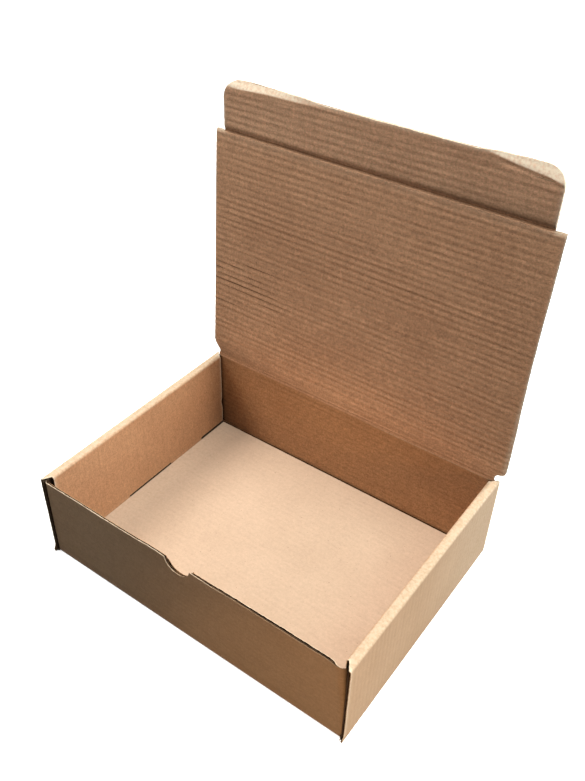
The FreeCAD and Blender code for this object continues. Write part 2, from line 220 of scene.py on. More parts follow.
def rounded(corners, radii, runs, turn_steps):
    """A path through corners with round turns: one set of fractions for each straight run."""
    corners = np.array(corners, float)
    path = []
    start = corners[0]
    for number in range(1, len(corners)):
        corner = corners[number]
        if number == len(corners) - 1:
            path.append(start + (corner - start) * runs[number - 1][:, None])
            break
        into = corner - corners[number - 1]
        into /= np.linalg.norm(into)
        out = corners[number + 1] - corner
        out /= np.linalg.norm(out)
        angle = math.acos(np.clip(into @ out, -1, 1))
        radius = radii[number - 1]
        reach = radius * math.tan(angle / 2)
        arc_start, arc_end = corner - into * reach, corner + out * reach
        path.append((start + (arc_start - start) * runs[number - 1][:, None])[:-1])
        inward = (out - into) / np.linalg.norm(out - into)
        centre = corner + inward * radius / math.cos(angle / 2)
        turn = np.linspace(0, 1, turn_steps + 1)[:-1, None]
        path.append(centre + (np.sin((1 - turn) * angle) * (arc_start - centre)
                              + np.sin(turn * angle) * (arc_end - centre)) / math.sin(angle))
        start = arc_end
    return np.concatenate(path)


def run_length(path):
    """Distance along a path from its first point."""
    return np.concatenate([[0], np.cumsum(np.linalg.norm(np.diff(path, axis=0), axis=1))])


# Meshes

def make_object(name, points, faces, materials, sharp_degrees):
    """An object of four-cornered faces, with a list of the given points that they use."""
    used, corners = np.unique(np.concatenate(faces), return_inverse=True)
    mesh = bpy.data.meshes.new(name)
    mesh.from_pydata((np.concatenate(points) * MM)[used].tolist(), [], corners.reshape(-1, 4).tolist())
    for material in materials:
        mesh.materials.append(material)
    mesh.polygons.foreach_set("use_smooth", np.ones(len(mesh.polygons), bool))
    mesh.update()
    mesh.set_sharp_from_angle(angle=math.radians(sharp_degrees))
    obj = bpy.data.objects.new(name, mesh)
    bpy.context.scene.collection.objects.link(obj)
    return obj, used


class Sheets:
    """Closed sheets of paper gathered into one mesh. The flat blank's places are kept as UV."""

    def __init__(self):
        self.points, self.faces, self.flat, self.kinds = [], [], [], []
        self.worn, self.dark_tone_and_painted_shade = [], []
        self.count = 0

    def add(self, front, behind, across, along, worn, dark_tone_and_painted_shade, keep, kind, inner):
        """A sheet between two grids of points; inner tells which of the two faces the core.

        Cells that keep leaves out are open. The first mark pales scuffed edges and places of painted light;
        the second darkens places of painted shade: slits, pockets, corners and creases.
        """
        rows, cols = front.shape[:2]
        facing = np.cross(front[:-1, 1:] - front[:-1, :-1], front[1:, :-1] - front[:-1, :-1])
        turned = np.sum(facing * (front - behind)[:-1, :-1]) < 0
        if keep is None:
            keep = np.ones((rows - 1, cols - 1), bool)
        size = rows * cols
        index = self.count + np.arange(size).reshape(rows, cols)
        self.points += [front.reshape(-1, 3), behind.reshape(-1, 3)]
        self.flat += [np.stack(np.broadcast_arrays(across, along), -1).reshape(-1, 2)] * 2
        for marks, values in ((self.worn, worn), (self.dark_tone_and_painted_shade, dark_tone_and_painted_shade)):
            marks += [np.broadcast_to(values, (rows, cols)).ravel()] * 2
        self.count += 2 * size
        a, b, c, d = index[:-1, :-1], index[:-1, 1:], index[1:, 1:], index[1:, :-1]
        top = np.stack([a, b, c, d], -1)[keep]
        made = [top, top[:, ::-1] + size]
        framed = np.zeros((rows + 1, cols + 1), bool)
        framed[1:-1, 1:-1] = keep
        beyond = (framed[:-2, 1:-1], framed[1:-1, 2:], framed[2:, 1:-1], framed[1:-1, :-2])
        for neighbour, first, second in zip(beyond, (a, b, c, d), (b, c, d, a)):
            rim = keep & ~neighbour
            one, two = first[rim], second[rim]
            made.append(np.stack([two, one, one + size, two + size], -1))
        kind = np.broadcast_to(kind, keep.shape)
        kinds = np.full(sum(len(part) for part in made), kind[0, 0])
        kinds[:len(top)] = kinds[len(top):2 * len(top)] = kind[keep]
        kinds[inner * len(top):(inner + 1) * len(top)] = CORE_SIDE
        made = np.concatenate(made)
        self.faces.append(made[:, ::-1] if turned else made)
        self.kinds.append(kinds)

    def make(self, name, materials):
        obj, used = make_object(name, self.points, self.faces, materials, 40)
        mesh = obj.data
        uv = np.concatenate(self.flat)[used] * MM
        corners = np.empty(len(mesh.loops), np.int32)
        mesh.loops.foreach_get("vertex_index", corners)
        layer = mesh.uv_layers.new(name="blank")
        layer.data.foreach_set("uv", uv[corners].astype(np.float32).ravel())
        for mark, values in (("worn", self.worn), ("dark_tone_and_painted_shade", self.dark_tone_and_painted_shade)):
            values = np.concatenate(values)[used].astype(np.float32)
            mesh.attributes.new(mark, "FLOAT", "POINT").data.foreach_set("value", values)
        mesh.polygons.foreach_set("material_index", np.concatenate(self.kinds).astype(np.int32))
        mesh.update()
        return obj


def board_pair(sheets, outside, inside, across, along, dips, worn, dark_tone_and_painted_shade, keep=None, swell=0.6,
               outer_kind=OUTER):
    """The two liners of one stretch of board, between its outside and its inside face."""
    thick = np.linalg.norm(inside - outside, axis=-1, keepdims=True)
    through = (inside - outside) / thick
    sunk_out, sunk_in = [through * np.asarray(dip)[..., None] for dip in dips]
    paper_out, paper_in = [through * np.minimum(LINER * (1 + swell * np.asarray(pale_from_wear_and_light)[..., None]),
                                                0.45 * thick) for pale_from_wear_and_light in worn]
    a, b = outside + sunk_out, inside - sunk_in
    sheets.add(a, a + paper_out, across, along, worn[0], dark_tone_and_painted_shade[0], keep, outer_kind, 1)
    sheets.add(b - paper_in, b, across, along, worn[1], dark_tone_and_painted_shade[1], keep, INNER, 0)


# Node trees and the fluted core

class Graph:
    """Short ways to add nodes to a tree and to join them."""

    def __init__(self, tree):
        self.tree = tree

    def node(self, kind, inputs=None, **settings):
        made = self.tree.nodes.new(kind)
        for key, value in settings.items():
            setattr(made, key, value)
        for key, value in (inputs or {}).items():
            self.feed(value, made.inputs[key])
        return made

    def feed(self, value, target):
        if isinstance(value, bpy.types.NodeSocket):
            self.tree.links.new(value, target)
        else:
            target.default_value = value

    def maths(self, operation, first, second=0.0, clamp=False):
        made = self.node("ShaderNodeMath", {0: first, 1: second}, operation=operation, use_clamp=clamp)
        return made.outputs[0]


def core_tree():
    """One flute of paper, repeated side by side, then given its thickness."""
    tree = bpy.data.node_groups.new("fluted core", "GeometryNodeTree")
    tree.interface.new_socket(name="Geometry", in_out="OUTPUT", socket_type="NodeSocketGeometry")
    names = {}
    for name, kind, value in (("Flutes", "Int", 10), ("Pitch", "Float", PITCH * MM), ("Run", "Float", 0.3),
                              ("Stations", "Int", 2), ("Height", "Float", 0.002),
                              ("Paper", "Float", CORE_PAPER * MM), ("Material", "Material", None)):
        made = tree.interface.new_socket(name=name, in_out="INPUT", socket_type="NodeSocket" + kind)
        if value is not None:
            made.default_value = value
        names[name] = made.identifier
    graph = Graph(tree)
    given = graph.node("NodeGroupInput").outputs
    flute = graph.node("GeometryNodeMeshGrid", {"Size X": given["Run"], "Size Y": given["Pitch"],
                                                "Vertices X": given["Stations"],
                                                "Vertices Y": FLUTE_POINTS})
    place = graph.node("GeometryNodeInputPosition").outputs[0]
    beside = graph.node("ShaderNodeSeparateXYZ", {0: place}).outputs["Y"]
    turn = graph.maths("MULTIPLY", graph.maths("DIVIDE", beside, given["Pitch"]), 2 * math.pi)
    crest = graph.maths("MULTIPLY", graph.maths("COSINE", turn),
                        graph.maths("MULTIPLY", given["Height"], 0.5))
    lift = graph.node("ShaderNodeCombineXYZ", {"Z": crest}).outputs[0]
    bent = graph.node("GeometryNodeSetPosition", {"Geometry": flute.outputs["Mesh"], "Offset": lift})
    step = graph.node("ShaderNodeCombineXYZ", {"Y": given["Pitch"]}).outputs[0]
    row = graph.node("GeometryNodeMeshLine", {"Count": given["Flutes"], "Offset": step})
    repeated = graph.node("GeometryNodeInstanceOnPoints", {"Points": row.outputs["Mesh"],
                                                           "Instance": bent.outputs["Geometry"]})
    real = graph.node("GeometryNodeRealizeInstances", {0: repeated.outputs[0]}).outputs[0]
    sheet = graph.node("GeometryNodeMergeByDistance", {"Geometry": real, "Distance": WELD * MM}).outputs[0]
    thick = graph.node("GeometryNodeExtrudeMesh", {"Mesh": sheet, "Offset Scale": given["Paper"],
                                                   "Individual": False}, mode="FACES")
    under = graph.node("GeometryNodeFlipFaces", {0: sheet}).outputs[0]
    both = graph.node("GeometryNodeJoinGeometry", {0: under})
    graph.feed(thick.outputs["Mesh"], both.inputs[0])
    closed = graph.node("GeometryNodeMergeByDistance", {"Geometry": both.outputs[0],
                                                        "Distance": WELD * MM}).outputs[0]
    paper = graph.node("GeometryNodeSetMaterial", {"Geometry": closed, "Material": given["Material"]})
    graph.node("NodeGroupOutput", {0: paper.outputs[0]})
    return tree, names


def grow(tree, names, values):
    """Run a tree on its own and give the plain mesh that it makes."""
    obj = bpy.data.objects.new("start", bpy.data.meshes.new("start"))
    bpy.context.scene.collection.objects.link(obj)
    modifier = obj.modifiers.new("nodes", "NODES")
    modifier.node_group = tree
    for name, value in values.items():
        modifier[names[name]] = value
    bpy.context.view_layer.update()
    ready = obj.evaluated_get(bpy.context.evaluated_depsgraph_get())
    made = bpy.data.meshes.new_from_object(ready)
    obj.modifiers.remove(modifier)
    bpy.data.objects.remove(obj)
    return made


class Core:
    """Fluted sheets grown flat, then laid between the two faces of each panel of one body."""

    tree, names = core_tree()

    def __init__(self, material):
        self.material = material
        self.points, self.faces, self.count = [], [], 0

    def lay(self, outside, inside, first, last, stations, to_cell, phase=0.0):
        """Flutes from first to last along the board; to_cell gives the grid place of each point."""
        flutes = int(math.ceil((last - first) / PITCH)) + 1
        made = grow(self.tree, self.names, {
            "Flutes": flutes, "Pitch": PITCH * MM, "Run": (stations[-1] - stations[0]) * MM,
            "Stations": len(stations), "Height": (BOARD - 2 * LINER - CORE_PAPER) * MM,
            "Paper": CORE_PAPER * MM, "Material": self.material})
        count = len(made.vertices)
        points = np.empty(count * 3, np.float32)
        made.vertices.foreach_get("co", points)
        points = points.reshape(-1, 3).astype(float) * TO_MM
        faces = np.array([face.vertices[:] for face in made.polygons])
        bpy.data.meshes.remove(made)
        even = np.linspace(stations[0], stations[-1], len(stations))
        middle = (stations[0] + stations[-1]) / 2
        run = np.interp(points[:, 0] + middle, even, stations)
        along = points[:, 1] + first + PITCH / 2 + phase
        depth = np.clip(0.5 + points[:, 2] / BOARD, CORE_CLEAR, 1 - CORE_CLEAR)
        row, col, inside_sheet = to_cell(run, along)
        keep = inside_sheet[faces].any(1)
        row = np.clip(row, 0, outside.shape[0] - 1.001)
        col = np.clip(col, 0, outside.shape[1] - 1.001)
        r, c = row.astype(int), col.astype(int)
        fr, fc = (row - r)[:, None], (col - c)[:, None]

        def sample(grid):
            near = grid[r, c] * (1 - fc) + grid[r, c + 1] * fc
            far = grid[r + 1, c] * (1 - fc) + grid[r + 1, c + 1] * fc
            return near * (1 - fr) + far * fr

        laid = sample(outside) * (1 - depth[:, None]) + sample(inside) * depth[:, None]
        kept = faces[keep]
        a, b, d = laid[kept[:, 0]], laid[kept[:, 1]], laid[kept[:, 3]]
        area = np.linalg.norm(np.cross(b - a, d - a), axis=1)
        kept = kept[area > 1e-4]
        a, b, d = outside[:-1, :-1], outside[:-1, 1:], outside[1:, :-1]
        if np.sum(np.cross(b - a, d - a) * (inside - outside)[:-1, :-1]) < 0:
            kept = kept[:, ::-1]
        self.points.append(laid)
        self.faces.append(kept + self.count)
        self.count += count

    def make(self, name):
        return make_object(name, self.points, self.faces, [self.material], 50)[0]


def cell_finder(outside_rows, columns, low=None, high=None):
    """Grid places for (run across, place along): rows may stretch between low and high."""
    def find(run, along):
        col = np.interp(run, columns, np.arange(len(columns)))
        if low is None:
            row = np.interp(along, outside_rows, np.arange(len(outside_rows)))
            return row, col, (along > outside_rows[0]) & (along < outside_rows[-1])
        bottom = np.interp(run, columns, low)
        top = np.interp(run, columns, high)
        share = (along - bottom) / (top - bottom)
        row = np.interp(share, outside_rows, np.arange(len(outside_rows)))
        return row, col, (share > 0) & (share < 1)
    return find


# The panels of the box

def side_wall(side, materials, core):
    """Outer panel, rolled strip and inner panel with its tabs, from the base's edge on."""
    seed = 10 if side > 0 else 40
    runs = [fractions((1, 2)), fractions((0.06, 3), (0.94, 14), (1, 3)), fractions((1, 3)),
            fractions((0.06, 3), (0.9, 13), (0.9509, 3), (1, 2))]
    outer = rounded([(FLOOR_HALF, 0), (HALF, 0), (HALF, TOP), (ROLL_IN, TOP), (ROLL_IN, TAB_FOOT)],
                    (FOLD_RADIUS,) * 3, runs, 5)
    inner = rounded([(FLOOR_HALF, BOARD), (HALF - BOARD, BOARD), (HALF - BOARD, TOP - BOARD),
                     (ROLL_OUT, TOP - BOARD), (ROLL_OUT, TAB_FOOT)], (CREASED,) * 3, runs, 5)
    run, high = run_length(outer), outer[:, 1]
    tab_start = run[-1] - TAB_LONG
    places = np.unique(np.concatenate([spaced(INNER_FRONT, INNER_BACK, STEP),
                                       [-TAB_FAR, -TAB_NEAR, TAB_NEAR, TAB_FAR]]))
    share = (places - places[0]) / (places[-1] - places[0])

    # Where the sheet starts and ends: the rolled panel is shorter, the foot is rounded and flared
    past_strip = np.arange(len(run)) > len(run) // 2
    rolled = np.where(past_strip | (high > TOP / 2),
                      ease(-outer[:, 0], -(HALF - 1.2), -(ROLL_IN + 1.5)), 0)
    outer_leaf = outer[:, 0] > HALF - FOLD_RADIUS
    foot = np.clip(FOOT_ROUND - high, 0, FOOT_ROUND) * outer_leaf
    round_back = FOOT_ROUND - np.sqrt(FOOT_ROUND ** 2 - foot ** 2)
    front = FRONT - FRONT_OVERLAP + rolled * (INNER_FRONT - FRONT + FRONT_OVERLAP) + 0.1 * round_back
    front = front - FOOT_FLARE * ease(FLARE_HIGH - high, 0, FLARE_HIGH) * outer_leaf
    back = BACK + BACK_OVERLAP + rolled * (INNER_BACK - BACK - BACK_OVERLAP) - round_back
    stub = (outer[:, 0] < HALF - 2 * FOLD_RADIUS) & (high < BOARD)
    front, back = np.where(stub, -FLOOR_DEPTH, front), np.where(stub, FLOOR_DEPTH, back)
    back = back - 1.6 * rolled * np.exp(-((high - 32) / 4.0) ** 2)
    back -= 1.2 * rolled * ease(-high, -9, -4.8)
    grids = []
    for number, path in enumerate((outer, inner)):
        fray = 0.16 * wander(run, 2.3, seed + number) + 0.12 * wander(run, 9.0, seed + 5 + number)
        first, last = front + fray, back - fray[::-1]
        y = first[:, None] + (last - first)[:, None] * share
        grids.append(np.stack(np.broadcast_arrays(side * path[:, :1], y, path[:, 1:]), -1))
    outside, inside = grids
    across, place = run[:, None], outside[..., 1]
    inner_panel = rolled > 0.99
    bow = np.where(inner_panel, 0.25 * np.sin(np.pi * np.clip(high / TOP, 0, 1)), 0)[:, None]
    bow = bow * blotch(across, place, 60, 80, seed + 9)
    lifted = REAR_LIFT * ease(run, run[-1] - 16, tab_start)[:, None] * ease(places, TAB_FAR, TAB_FAR + 3)
    for grid in grids:
        grid[..., 0] += side * bow
        grid[..., 2] += lifted

    middle = np.abs(places[1:] + places[:-1]) / 2
    keep = np.ones((len(run) - 1, len(places) - 1), bool)
    keep[-2:, ~((middle > TAB_NEAR) & (middle < TAB_FAR))] = False
    high = outer[:, 1:]
    edge = np.minimum(place - place[:, :1], place[:, -1:] - place)
    worn = np.exp(-edge / 1.2) + 0.1 * np.exp(-(run[-1] - 4.5 - across)) * (high > TAB_LONG)
    # Painted highlight: paler along the top fold
    worn += 0.5 * np.exp(-((high - TOP) / 1.5) ** 2)
    # Painted light: the outer face of the outer panel paler towards the back
    worn += 0.25 * ease(place, -20, 100) * (outer[:, :1] > HALF - 1)
    # Painted shade: the rolled inner panel darker towards the back wall
    painted_shade = 0.35 * ease(place, INNER_BACK - 34, INNER_BACK) * (rolled > 0.9)[:, None]
    # Painted shade: the liner facing the pocket between the two leaves, nearly black
    shade_between_leaves = 0.85
    sheets = Sheets()
    board_pair(sheets, outside, inside, across, place, washboards(across, place, seed + 20, WALL_DEPTHS),
               (np.clip(worn, 0, 1), np.clip(0.6 * worn, 0, 1)), (painted_shade, shade_between_leaves), keep,
               outer_kind=np.where(past_strip & inner_panel, ROLLED, OUTER)[:-1, None])
    stations = np.concatenate([[0, 3, 5.5, 7], spaced(12, TOP - 2, 30), TOP + np.array([2, 4, 7, 11, 14]),
                               spaced(TOP + 20, tab_start, 35)])
    core.lay(outside.transpose(1, 0, 2), inside.transpose(1, 0, 2), INNER_FRONT + 2.6, INNER_BACK - 3,
             stations, cell_finder(places, run))
    return sheets.make("side_wall_right" if side > 0 else "side_wall_left", materials)


def end_wall(end, top_of, top_half, radius_of, materials, core, name, seed, crushed=0.0, open_top=0.2):
    """Front or back wall with its two ears, and the fold at its foot."""
    face = FRONT if end < 0 else BACK
    ear_end = face - end * EAR_LENGTH
    share = np.concatenate([np.linspace(0, 0.86, 78), np.linspace(0.86, 1, 22)[1:]])
    middle = 0.5 + 0.5 * np.concatenate([
        -fractions((1, 58))[::-1] * 0.9 - 0.1, 0.1 * np.sin(np.linspace(-1.5, 1.5, 40)) / math.sin(1.5),
        fractions((1, 58)) * 0.9 + 0.1])
    runs = [fractions((0.96, 12), (1, 2)), np.unique(np.round(middle, 6)), fractions((0.04, 2), (1, 12))]
    outer_rows, inner_rows = [], []
    for part in share:
        bends = radius_of(part)
        tight = [min(max(bend - BOARD, CREASED), CORNER_INSIDE) for bend in bends]
        for rows, half, near, turns in ((outer_rows, WALL_HALF, face, bends),
                                        (inner_rows, EAR_IN, face - end * BOARD, tight)):
            corners = [(-half, ear_end), (-half, near), (half, near), (half, ear_end)]
            rows.append(rounded(corners, turns, runs, 9))
    outer_plan, inner_plan = np.array(outer_rows), np.array(inner_rows)
    run = run_length(outer_plan[len(share) // 2])
    run -= run[-1] / 2
    off_middle = np.abs(run)
    beyond = off_middle - (WALL_HALF - 1)
    bottom = WALL_FOOT + (EAR_BOTTOM - WALL_FOOT) * ease(beyond, 0, 3)
    end_round = np.clip(beyond - (EAR_LENGTH - EAR_ROUND), 0, EAR_ROUND)
    ear_top = EAR_TOP - (EAR_ROUND - np.sqrt(EAR_ROUND ** 2 - end_round ** 2))
    tops, grids = [], []
    for number, plan in enumerate((outer_plan, inner_plan)):
        fray = (0.2 * wander(run, 1.4, seed + number) + 0.15 * wander(run, 12, seed + 3 + number)) * (end < 0)
        top = np.where(off_middle < top_half, top_of(run, number) + fray, ear_top)
        z = bottom + (top - bottom) * share[:, None]
        tops.append(top)
        grids.append(np.concatenate([plan, z[..., None]], -1))
    outside, inside = grids
    place = outside[..., 2]

    # Pressed thin: the right corner, the top edge, and inside the front wall where the flap tucks in
    pressed = crushed * (ease(run, 149, 158) * ease(share, 0.8, 1)[:, None]
                         + ease(share, 0.955, 0.995)[:, None] * (0.5 - 0.3 * ease(run, 10, 30))
                         * (off_middle > NOTCH_HALF))
    tucked = (0.25 + 0.75 * ease(off_middle, 50, 80)) * ease(off_middle, 30, 42)
    tucked *= ease(-off_middle, -WALL_HALF - 2, -WALL_HALF + 1)
    pressed = np.clip(pressed, 0, 0.6) + (
        (end < 0) * WALL_GIVE * tucked * ease(place, 41, 47) * ease(-place, -65, -58))
    inside += (outside - inside) * np.clip(pressed, 0, WALL_GIVE)[..., None]

    bright = 0.25 * ease(-run, -70, -40) + 0.75 * ease(-run, -4, 20)
    bright = np.clip(bright + 0.5 * ease(run, 8, 12) * ease(-run, -45, -30), 0, 1)
    worn = np.clip(np.exp(-(tops[0] - place) / 0.7) * bright, 0, 1)
    worn_in = np.exp(-np.clip(tops[1] - inside[..., 2], 0, 9) / 0.5) * (0.1 + 0.9 * ease(run, 10, 60))
    # Painted shade: where the wall curls round its ends, the board darkens almost to black in the slits
    # beside the side walls
    curl_and_ear_shade = 0.97 * ease(np.abs(outside[..., 1] - face), 0.7, 4.2)
    # Painted shade on the inside face: dark into both end corners, and darker towards the lower left
    corner = 0.85 * ease(np.abs(inside[..., 0]), EAR_IN - 4.5, EAR_IN - 1.0)
    wedge = -inside[..., 0] - 0.5 * (inside[..., 2] - 20)
    corner += 0.62 * ease(wedge, EAR_IN - 80, EAR_IN + 5) * (1 - corner)
    sheets = Sheets()
    board_pair(sheets, outside, inside, run, place, washboards(run, place, seed + 7, WALL_DEPTHS),
               (worn * (1 - curl_and_ear_shade), worn_in), (curl_and_ear_shade, np.maximum(curl_and_ear_shade, corner)))
    coarse, bent, notched, to_press = 26, 2.2, 1.4, 5 if end < 0 else 25
    half = np.concatenate([spaced(30, 80, to_press), spaced(88, 140, coarse),
                           spaced(WALL_HALF - 14, WALL_HALF + 4, bent),
                           spaced(WALL_HALF + 8, run[-1] - 0.6, coarse)])
    closed_top = np.where(off_middle < NOTCH_HALF, 0.1, open_top)
    core.lay(outside, inside, WALL_FOOT, max(tops[0]),
             np.concatenate([-half[::-1], spaced(-18, 18, notched), half]),
             cell_finder(share, run, bottom, np.minimum(*tops) - closed_top), phase=1.2)
    foot_fold(sheets, end, face)
    return sheets.make(name, materials)


def foot_fold(sheets, end, face):
    """The fold between the base and a front or back wall, with a groove along its inside."""
    outer = rounded([(end * FLOOR_DEPTH, 0), (face, 0), (face, WALL_FOOT)], (FOLD_RADIUS,),
                    [fractions((1, 2)), fractions((1, 1))], 6)
    inward = face - end * BOARD
    groove = ((1.9, BOARD, 0), (1.7, BOARD - 0.15, 0.4), (1.5, 1.5, 1), (1.2, 0.95, 1), (0.5, 0.8, 1),
              (0.1, 1.1, 1), (0.0, 2.0, 0.8), (0.0, BOARD + 0.1, 0.2))
    inner = np.array([(end * FLOOR_DEPTH, BOARD)] + [(inward - end * gap, high) for gap, high, _ in groove]
                     + [(inward, WALL_FOOT)])
    shade = np.array([0] + [dark for _, _, dark in groove] + [0])[:, None]
    across = spaced(-WALL_HALF + 1.7, WALL_HALF - 1.7, 3)
    fold = [np.stack(np.broadcast_arrays(across, path[:, :1], path[:, 1:]), -1) for path in (outer, inner)]
    length = run_length(outer)[:, None]
    # Painted shade: darker along the bottom of the fold's outside, near the ground
    under = 0.6 * ease(-outer[:, 1:], -2.4, -0.6)
    board_pair(sheets, *fold, across, length - length[-1] + WALL_FOOT, (0, 0), (0, 0), (under, shade))


def front_top(run, liner):
    """Top of the front wall: a little wavy, with the thumb notch in the middle."""
    run = run + NOTCH_SHIFT
    inside_notch = np.abs(run) < NOTCH_HALF
    notch = NOTCH_CENTRE - np.sqrt(NOTCH_RADIUS ** 2 - np.minimum(np.abs(run), NOTCH_HALF) ** 2)
    wavy = FRONT_TOP + 0.9 * np.exp(-((run + 27) / 17) ** 2) - 0.8 * np.exp(-((run - 30) / 15) ** 2)
    wavy += 0.25 * wander(run, 40, 71)
    right = ease(run, 22, 40) * ease(-run, -150, -138)
    lower = 0.55 * right if liner == 0 else 0.25 * ease(-run, 6, 22) * ease(run, -158, -140)
    serrated = liner * right * 0.6 * np.maximum(wander(run, 1.3, 73), 0)
    wavy -= 2.6 * ease(run, 146, 163)
    return np.where(inside_notch, notch, wavy - lower + serrated)


def back_top(run, liner):
    return np.full_like(run, BACK_TOP)


def base_sheet(materials, core):
    """The floor of the box with the four slots for the tabs."""
    slot_low, slot_high, lip = ROLL_IN - 0.1, ROLL_OUT + SLOT_GAP, 0.3
    across = np.concatenate([spaced(0, slot_low - lip, 9), [slot_low, slot_high, FLOOR_HALF]])
    across = np.unique(np.concatenate([across, -across]))
    slot_ends = np.array([TAB_NEAR - SLOT_GAP, TAB_FAR + SLOT_GAP])
    along = np.unique(np.concatenate([spaced(-FLOOR_DEPTH, FLOOR_DEPTH, STEP), slot_ends, -slot_ends]))
    x, y = np.meshgrid(across, along)
    middle_x, middle_y = [np.abs((line[1:] + line[:-1]) / 2) for line in (across, along)]
    slot_x = (middle_x > slot_low) & (middle_x < slot_high)
    slot_y = (middle_y > slot_ends[0]) & (middle_y < slot_ends[1])
    keep = ~(slot_y[:, None] & slot_x[None, :])
    beside_tab = (np.abs(y) > slot_ends[0] - 0.01) & (np.abs(y) < slot_ends[1] + 0.01)
    # Painted shade: the inside face darkened where the rolled side panels cover it, less beside the tab slots
    shade_under_wall = np.where(np.abs(x) > slot_low - 0.01, np.where(beside_tab, 0.35, 0.92), 0)
    outside, inside = np.stack([x, y, 0 * x], -1), np.stack([x, y, 0 * x + BOARD], -1)
    fade = ease(FLOOR_DEPTH - np.abs(y), 0, 3)
    # Painted light: the inside face paler towards the left wall, lifting that wall's shadow
    pale_from_wear_and_light = 0.3 * ease(-x, 105, 140)
    sheets = Sheets()
    board_pair(sheets, outside, inside, x, y, [dip * fade for dip in washboards(x, y, 91, BASE_DEPTHS)],
               (0, pale_from_wear_and_light), (0, shade_under_wall), keep)
    core.lay(outside, inside, -FLOOR_DEPTH, FLOOR_DEPTH, np.array([-slot_low, 0.0, slot_low]),
             cell_finder(along, across))
    return sheets.make("base_sheet", materials)


def directions(angle):
    """Along a leaning panel and out of its inside face, seen from the side."""
    return np.array([math.cos(angle), math.sin(angle)]), np.array([-math.sin(angle), math.cos(angle)])


def leaning(origin, angle):
    """Turns places along a leaning panel to points: along from the origin, out to its inside face."""
    direction, inward = [np.array([0, *way]) for way in directions(angle)]

    def point(across, along, depth):
        shape = np.broadcast_shapes(np.shape(across), np.shape(along), np.shape(depth))
        points = np.zeros(shape + (3,))
        points[..., 0] = across
        points += origin + np.multiply.outer(np.broadcast_to(along, shape), direction)
        return points + np.multiply.outer(np.broadcast_to(depth, shape), inward)
    return point


def lid_width(along, side):
    """Half the lid's width: a cut corner at the crease on the left, a round shoulder on the right."""
    if side < 0:
        return np.interp(along, (0, 4.4, 5.4, 7.4, 10.4, 13.4, 16.4, 400),
                         CREASE_HALF + np.array([-0.4, -1.3, -0.8, 1.0, 3.7, 5.5, 6.5, 6.5]))
    turn = np.clip(11.0 - along, 0, 4.9)
    high = LID_HALF - 5.0 + np.sqrt(25.0 - turn ** 2)
    return np.where(along < 6.1, CREASE_HALF + 2.2 * ease(along, 3.0, 6.1), high)


def fold_valley(distance, reach):
    """How far the board is pressed in beside the flap's fold."""
    return VALLEY * np.exp(-(distance / reach) ** 2)


def lid_board(materials, core):
    """The lid, with a few crushed ridges near its crease and its fold."""
    point = leaning(HINGE, LID_ANGLE)
    last = LID_LENGTH - FOLD_HALF
    along = np.unique(np.concatenate([spaced(FOLD_HALF, 6, 1.0), spaced(6, 15, 0.5),
                                      spaced(15, last, STEP)]))
    near_edge = np.array([0, 0.0035, 0.009, 0.02])
    share = np.concatenate([-1 + near_edge, spaced(-0.965, 0.965, 0.055), 1 - near_edge[::-1]])
    widths = lid_width(along, -1), lid_width(along, 1)
    right_bulge = 2.7 * ease(130 - along, 0, 115) * ease(along, 5, 9)
    grids, places = [], []
    for number in range(2):
        frays = [0.08 * wander(along, 1.6, 130 + number + 7 * side) + 0.2 * wander(along, 19, 133 + side)
                 for side in (0, 1)]
        half = np.where(share < 0, (widths[0] + frays[0])[:, None],
                        (widths[1] + frays[1] + right_bulge)[:, None])
        x = share * half
        y = np.repeat(along[:, None], len(share), 1)
        y[-1] -= 0.25 + 0.25 * wander(x[-1], 1.7, 140 + number)
        y[-1] += LID_LIP * (np.abs(x[-1]) > FLAP_HALF + 0.4)
        grids.append(point(x, y, (number - 0.5) * BOARD))
        places.append((x, y))
    outside, inside = grids
    x, y = places[1]
    from_end = last - y
    dips = washboards(x, y, 151, LID_DEPTHS)
    for place, height, left, right in (
            (9.5, 0.16, -1.0, 0.2), (17.5, 0.16, -0.3, 1.0), (13.5, 0.10, 0.4, 1.0), (26, 0.12, -1.0, 0.5),
            (35, 0.10, 0.2, 1.0), (last - 74, 0.14, -1, 0.3), (last - 87, 0.14, 0.1, 1)):
        part = ease(x / LID_HALF, left - 0.2, left + 0.1) * ease(-x / LID_HALF, -right - 0.2, -right + 0.1)
        dips[1] -= height * part * np.exp(-((y - place - 0.006 * x) / 0.6) ** 2)
    dips[1] += np.maximum(0.35 * blotch(x, y, 120, 90, 160), -0.12) * ease(y, 10, 60) + (
        fold_valley(last + FOLD_HALF - y, LID_REACH))
    over_wall = np.abs(x) > ROLL_IN - 2
    dips[1] = np.where(over_wall, np.maximum(dips[1], -0.04), dips[1])
    half_here = np.where(x < 0, widths[0][:, None], widths[1][:, None])
    worn = np.clip(np.exp(-np.clip(half_here - np.abs(x), 0, 99) / 0.6), 0, 1) * 0.7
    beside_flap = ease(np.abs(x), FLAP_HALF - 1, FLAP_HALF + 1)
    # Paler at the edges beside the flap; painted light: a paler band below the fold to the flap
    worn = np.clip(worn + beside_flap * np.exp(-from_end / 0.8) + 0.25 * np.exp(-from_end / 4.0), 0, 1)
    # Painted shade: darker towards the lower left by the crease, and in a thin band just above it
    painted_shade = 0.3 * ease(-x, 70, 160) * (1 - ease(y, 2, 32)) + 0.12 * np.exp(-((y - 5) / 3) ** 2)
    sheets = Sheets()
    board_pair(sheets, outside, inside, x, y, dips, (worn, worn), (0, painted_shade))
    core.lay(outside, inside, FOLD_HALF, last, np.linspace(-1, 1, 9) * 0.998 * LID_HALF,
             cell_finder(along, share * LID_HALF))
    return sheets.make("lid_board", materials)


